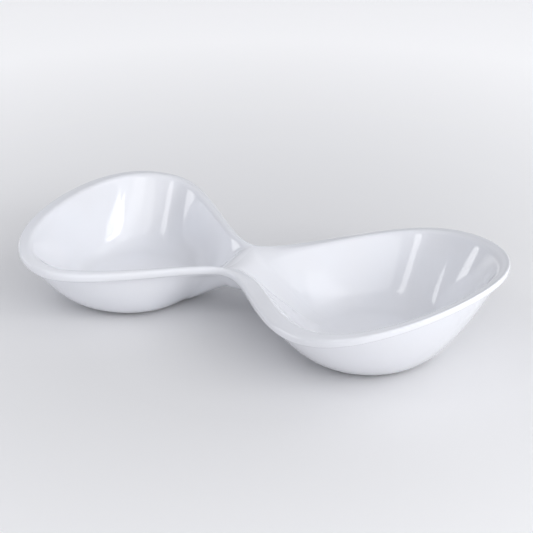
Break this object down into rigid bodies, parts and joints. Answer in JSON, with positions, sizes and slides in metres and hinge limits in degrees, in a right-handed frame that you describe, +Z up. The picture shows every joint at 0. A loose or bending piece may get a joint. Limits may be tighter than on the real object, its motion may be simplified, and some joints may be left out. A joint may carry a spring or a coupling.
{
  "type": "chip and dip server",
  "caption": "Figure-eight serving dish in glossy white glazed ceramic: a dip bowl and a larger chip bowl joined at a narrow arched waist, with one wavy everted rim.",
  "frame": {"origin": "on the table, under the middle of the dish's length and width", "axes": "+X along the dish towards the chip bowl, +Y across it, +Z up"},
  "size_m": [0.356, 0.192, 0.076],
  "materials": {
    "glazed_body": "glossy cool-white transparent-over-white glaze, smooth to the touch",
    "bare_clay": "matt fired clay, ground flat, no glaze"
  },
  "bodies": {
    "root": {"dip_bowl": "glazed_body", "chip_bowl": "glazed_body", "waist_bridge": "glazed_body", "rim_flange": "glazed_body", "dip_foot_ring": "bare_clay", "chip_foot_ring": "bare_clay"}
  },
  "joints": []
}
